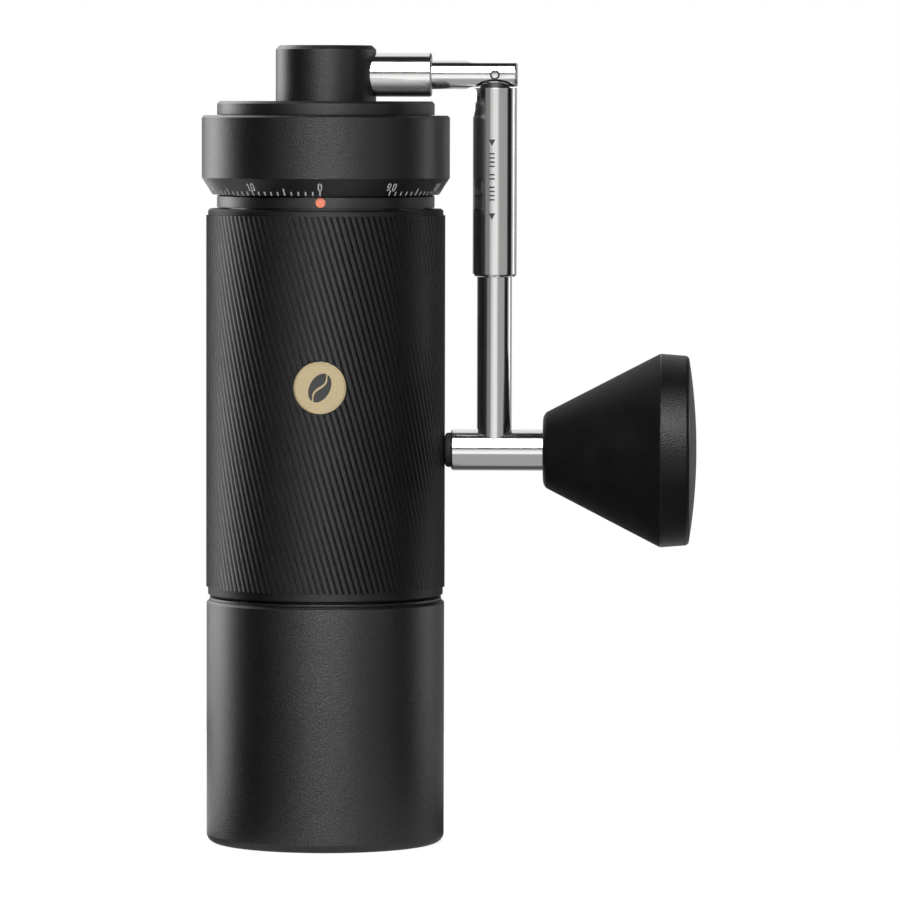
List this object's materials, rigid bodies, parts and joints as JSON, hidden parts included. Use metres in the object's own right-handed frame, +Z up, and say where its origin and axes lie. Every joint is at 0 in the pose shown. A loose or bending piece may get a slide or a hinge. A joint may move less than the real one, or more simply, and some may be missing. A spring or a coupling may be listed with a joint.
{
  "type": "hand crank coffee grinder",
  "caption": "Hand crank coffee grinder with a fluted grip, an external adjusting dial, a folding steel crank with a conical knob, and a catch cup that pulls off.",
  "frame": {"origin": "centre of the catch cup's flat base", "axes": "+Z up along the grinder's axis, -Y towards the badge and the index dot, +X towards the crank arm and knob"},
  "size_m": [0.1141, 0.0572, 0.1837],
  "materials": {
    "cup_black": "bead-blasted, matt black anodised",
    "grip_black": "machined flutes, matt black anodised",
    "dial_black": "fine blasted, satin black anodised",
    "inner_black": "plain black anodised",
    "inner_steel": "turned stainless steel",
    "satin_steel": "satin, finely turned round its axis",
    "burr_steel": "machined cutting steel",
    "bearing_steel": "ground and polished",
    "spring_steel": "drawn wire",
    "fastener_steel": "plain steel",
    "badge_gold": "champagne gold, finely brushed",
    "index_coral": "smooth coral enamel",
    "knob_black": "soft matt black",
    "knob_band_black": "satin black",
    "knob_cap_black": "fine blasted black",
    "rubber_black": "matt",
    "nylon_natural": "plain moulded"
  },
  "bodies": {
    "grip": {"body_tube": "inner_steel", "cup_o_ring": "rubber_black", "fluted_grip": "grip_black", "badge": "badge_gold", "index_collar": "dial_black", "index_dot": "index_coral", "detent_ball_1": "bearing_steel", "detent_ball_2": "bearing_steel", "detent_spring_1": "spring_steel", "detent_spring_2": "spring_steel", "dial_snap_ring": "spring_steel", "lower_bracket": "inner_black", "lower_bearing": "bearing_steel", "outer_burr": "burr_steel", "burr_screw_1": "fastener_steel", "burr_screw_2": "fastener_steel", "burr_screw_3": "fastener_steel", "burr_spring": "spring_steel"},
    "cup": {"catch_cup": "cup_black"},
    "dial": {"dial_ring": "dial_black"},
    "carrier": {"bearing_carrier": "inner_black", "upper_bearing": "bearing_steel"},
    "drive": {"drive_shaft": "satin_steel", "shaft_circlip": "spring_steel", "inner_burr": "burr_steel", "burr_washer": "fastener_steel", "burr_nut": "fastener_steel"},
    "lid": {"lid": "dial_black", "lid_gasket": "rubber_black", "lid_bushing": "nylon_natural"},
    "crank": {"hub": "dial_black", "lid_circlip": "spring_steel", "drive_socket": "satin_steel", "hub_collar": "satin_steel", "fork_rod": "satin_steel", "knuckle_pin": "satin_steel"},
    "arm": {"arm_rod": "satin_steel", "sleeve_spring": "spring_steel", "crosspiece": "satin_steel", "bumper": "rubber_black", "knob_washer": "fastener_steel", "knob_screw": "fastener_steel"},
    "sleeve": {"pull_sleeve": "satin_steel"},
    "knob": {"knob_body": "knob_black", "knob_band": "knob_band_black", "knob_cap": "knob_cap_black", "knob_bush_inner": "nylon_natural", "knob_bush_outer": "nylon_natural"}
  },
  "joints": [
    {"name": "cup_off", "type": "slide", "parent": "grip", "child": "cup", "axis": [0, 0, -1], "range_m": [0, 0.06]},
    {"name": "dial_turn", "type": "hinge", "parent": "grip", "child": "dial", "pos_m": [0, 0, 0.1585], "axis": [0, 0, 1], "range_deg": [0, 324]},
    {"name": "carrier_travel", "type": "slide", "parent": "grip", "child": "carrier", "axis": [0, 0, -1], "range_m": [0, 0.00135], "deforming": ["burr_spring"]},
    {"name": "lid_lift", "type": "slide", "parent": "grip", "child": "lid", "axis": [0, 0, 1], "range_m": [0, 0.04]},
    {"name": "crank_spin", "type": "hinge", "parent": "lid", "child": "crank", "pos_m": [0, 0, 0.177], "axis": [0, 0, 1], "continuous": true},
    {"name": "shaft_spin", "type": "hinge", "parent": "carrier", "child": "drive", "pos_m": [0, 0, 0.1577], "axis": [0, 0, 1], "continuous": true},
    {"name": "arm_fold", "type": "hinge", "parent": "crank", "child": "arm", "pos_m": [0.0389, 0, 0.177], "axis": [0, -1, 0], "range_deg": [0, 90]},
    {"name": "sleeve_slide", "type": "slide", "parent": "arm", "child": "sleeve", "axis": [0, 0, -1], "range_m": [0, 0.0072], "deforming": ["sleeve_spring"]},
    {"name": "knob_spin", "type": "hinge", "parent": "arm", "child": "knob", "pos_m": [0.0389, 0, 0.0907], "axis": [1, 0, 0], "continuous": true}
  ],
  "couplings": [
    {"joint": "shaft_spin", "follows": "crank_spin", "ratio": 1},
    {"joint": "carrier_travel", "follows": "dial_turn", "m_per_rad": 0.0002387},
    {"joint": "sleeve_slide", "follows": "arm_fold", "m_per_rad": 0.00447}
  ]
}
